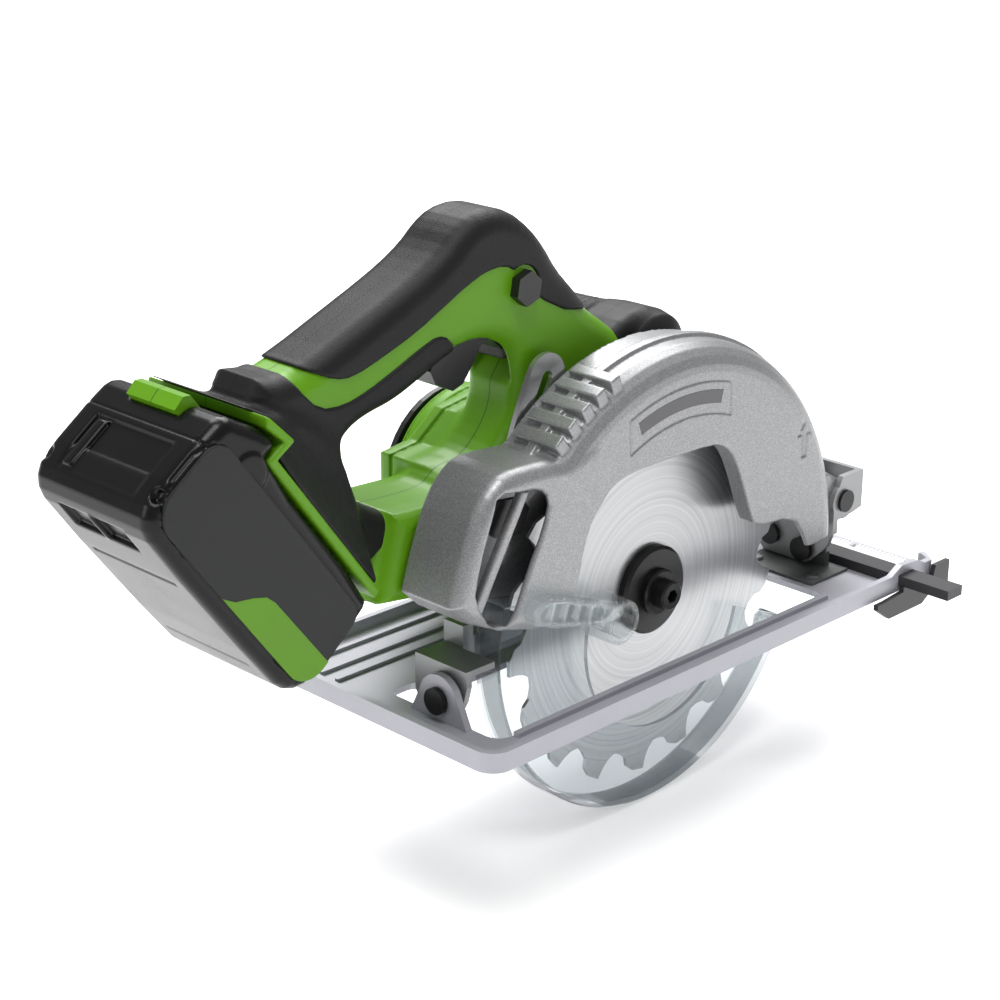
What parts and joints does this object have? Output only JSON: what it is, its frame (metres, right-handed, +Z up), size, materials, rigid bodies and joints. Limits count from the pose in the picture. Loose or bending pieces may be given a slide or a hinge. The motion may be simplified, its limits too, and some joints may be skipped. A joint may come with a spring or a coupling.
{
  "type": "circular saw",
  "caption": "Cordless circular saw with a bevelling, depth-adjusting sole, clear swinging lower guard, D-shaped rear handle, front handle, side battery and slide-in fence.",
  "frame": {"origin": "on the underside of the sole, on its centreline, straight below the arbor at full depth", "axes": "+X forward along the cut, +Y to the left, away from the blade's side, +Z up"},
  "size_m": [0.4462, 0.226, 0.2895],
  "materials": {
    "base_plate": "satin silver paint on pressed steel",
    "front_scale": "white scale strip",
    "front_tilt_foot": "dark grey paint",
    "bevel_pins": "blacked steel",
    "base_rivets": "plain steel",
    "rip_fence": "black paint on pressed steel",
    "fence_clamp_screw": "black wing screw",
    "front_tilt_bracket": "silver grey paint",
    "rear_tilt_bracket": "silver grey paint",
    "depth_quadrant": "zinc plated steel",
    "depth_pivot_pin": "blacked steel",
    "bevel_lock_lever": "black moulding on a steel bolt",
    "upper_guard": "die casting with silver paint",
    "chute_insert": "black moulding",
    "guard_screws": "plain steel",
    "gear_case": "as cast",
    "gear_case_cover": "as cast",
    "housing_right": "green moulding",
    "housing_left": "green moulding",
    "motor_end_cap": "black moulding",
    "grip_rubber_right": "fine grained overmould",
    "grip_rubber_left": "fine grained overmould",
    "aux_handle": "black moulding",
    "stator": "laminations and windings",
    "motor_bearings": "ground steel",
    "spindle_bearings": "ground steel",
    "trigger_switch": "black moulding",
    "control_board": "potted circuit board",
    "terminal_block": "black moulding",
    "housing_screws": "plated steel",
    "depth_bolt": "zinc plated steel",
    "guard_circlip": "spring steel",
    "guard_spring": "spring steel",
    "depth_lock_lever": "black moulding",
    "blade": "ground steel with fine turning rings",
    "inner_flange": "blacked steel",
    "outer_flange": "blacked steel",
    "blade_bolt": "blacked steel",
    "spindle": "ground steel",
    "spindle_gear": "cut steel",
    "rotor": "laminations and magnets",
    "motor_shaft": "ground steel with a cut pinion",
    "fan": "black moulding",
    "lower_guard": "clear plastic",
    "guard_lever": "clear plastic",
    "trigger": "black moulding",
    "lock_off_button": "black moulding",
    "spindle_lock_button": "black moulding",
    "battery_case": "black moulding",
    "battery_lid": "black moulding",
    "battery_panels": "charcoal label panel with a green corner",
    "battery_cells": "sleeved cells",
    "battery_terminals": "sprung contacts",
    "battery_latch": "green moulding"
  },
  "bodies": {
    "base": {"base_plate": "base_plate", "front_scale": "front_scale", "front_tilt_foot": "front_tilt_foot", "bevel_pins": "bevel_pins", "base_rivets": "base_rivets"},
    "fence": {"rip_fence": "rip_fence"},
    "fence_screw": {"fence_clamp_screw": "fence_clamp_screw"},
    "tilt": {"front_tilt_bracket": "front_tilt_bracket", "rear_tilt_bracket": "rear_tilt_bracket", "depth_quadrant": "depth_quadrant", "depth_pivot_pin": "depth_pivot_pin"},
    "bevel_lever": {"bevel_lock_lever": "bevel_lock_lever"},
    "head": {"upper_guard": "upper_guard", "chute_insert": "chute_insert", "guard_screws": "guard_screws", "gear_case": "gear_case", "gear_case_cover": "gear_case_cover", "housing_right": "housing_right", "housing_left": "housing_left", "motor_end_cap": "motor_end_cap", "grip_rubber_right": "grip_rubber_right", "grip_rubber_left": "grip_rubber_left", "aux_handle": "aux_handle", "stator": "stator", "motor_bearings": "motor_bearings", "spindle_bearings": "spindle_bearings", "trigger_switch": "trigger_switch", "control_board": "control_board", "terminal_block": "terminal_block", "housing_screws": "housing_screws", "depth_bolt": "depth_bolt", "guard_circlip": "guard_circlip", "guard_spring": "guard_spring"},
    "depth_lever": {"depth_lock_lever": "depth_lock_lever"},
    "arbor": {"blade": "blade", "inner_flange": "inner_flange", "outer_flange": "outer_flange", "blade_bolt": "blade_bolt", "spindle": "spindle", "spindle_gear": "spindle_gear"},
    "armature": {"rotor": "rotor", "motor_shaft": "motor_shaft", "fan": "fan"},
    "blade_guard": {"lower_guard": "lower_guard", "guard_lever": "guard_lever"},
    "trigger": {"trigger": "trigger"},
    "lock_off": {"lock_off_button": "lock_off_button"},
    "spindle_lock": {"spindle_lock_button": "spindle_lock_button"},
    "battery": {"battery_case": "battery_case", "battery_lid": "battery_lid", "battery_panels": "battery_panels", "battery_cells": "battery_cells", "battery_terminals": "battery_terminals"},
    "latch": {"battery_latch": "battery_latch"}
  },
  "joints": [
    {"name": "bevel", "type": "hinge", "parent": "base", "child": "tilt", "pos_m": [0, -0.023, 0.0125], "axis": [1, 0, 0], "range_deg": [0, 45]},
    {"name": "depth", "type": "hinge", "parent": "tilt", "child": "head", "pos_m": [0.13, -0.0255, 0.04], "axis": [0, 1, 0], "range_deg": [0, 26]},
    {"name": "blade_spin", "type": "hinge", "parent": "head", "child": "arbor", "pos_m": [0, -0.0255, 0.027], "axis": [0, 1, 0], "continuous": true},
    {"name": "rotor_spin", "type": "hinge", "parent": "head", "child": "armature", "pos_m": [-0.01491, -0.0255, 0.04644], "axis": [0, 1, 0], "continuous": true},
    {"name": "guard_swing", "type": "hinge", "parent": "head", "child": "blade_guard", "pos_m": [0, -0.0255, 0.027], "axis": [0, 1, 0], "range_deg": [0, 150], "stiffness_Nm_per_rad": 0.12, "springref_deg": -34.38},
    {"name": "trigger_pull", "type": "hinge", "parent": "head", "child": "trigger", "pos_m": [-0.073, 0.0125, 0.166], "axis": [0, 1, 0], "range_deg": [0, 9], "stiffness_Nm_per_rad": 0.6, "springref_deg": -5.73},
    {"name": "lock_off_push", "type": "slide", "parent": "head", "child": "lock_off", "axis": [0, 1, 0], "range_m": [-0.003, 0.003], "stiffness_N_per_m": 400},
    {"name": "spindle_lock_push", "type": "slide", "parent": "head", "child": "spindle_lock", "axis": [-1, 0, 0], "range_m": [0, 0.0035], "stiffness_N_per_m": 400, "springref_m": -0.001},
    {"name": "depth_lever_turn", "type": "hinge", "parent": "head", "child": "depth_lever", "pos_m": [-0.07699, 0.0355, 0.04145], "axis": [0, 1, 0], "range_deg": [-35, 0]},
    {"name": "bevel_lever_turn", "type": "hinge", "parent": "tilt", "child": "bevel_lever", "pos_m": [0.13, -0.00319, 0.01528], "axis": [1, 0, 0], "range_deg": [0, 40]},
    {"name": "battery_slide", "type": "slide", "parent": "head", "child": "battery", "axis": [-0.6, 0, 0.8], "range_m": [0, 0.07]},
    {"name": "latch_push", "type": "slide", "parent": "battery", "child": "latch", "axis": [0.6, 0, -0.8], "range_m": [0, 0.003], "stiffness_N_per_m": 400, "springref_m": -0.001},
    {"name": "fence_slide", "type": "slide", "parent": "base", "child": "fence", "axis": [0, 1, 0], "range_m": [-0.06, 0]},
    {"name": "fence_screw_turn", "type": "hinge", "parent": "base", "child": "fence_screw", "pos_m": [0.14, 0.049, 0.018], "axis": [0, 0, 1], "range_deg": [0, 180]}
  ],
  "couplings": [
    {"joint": "rotor_spin", "follows": "blade_spin", "ratio": -4.4444}
  ]
}
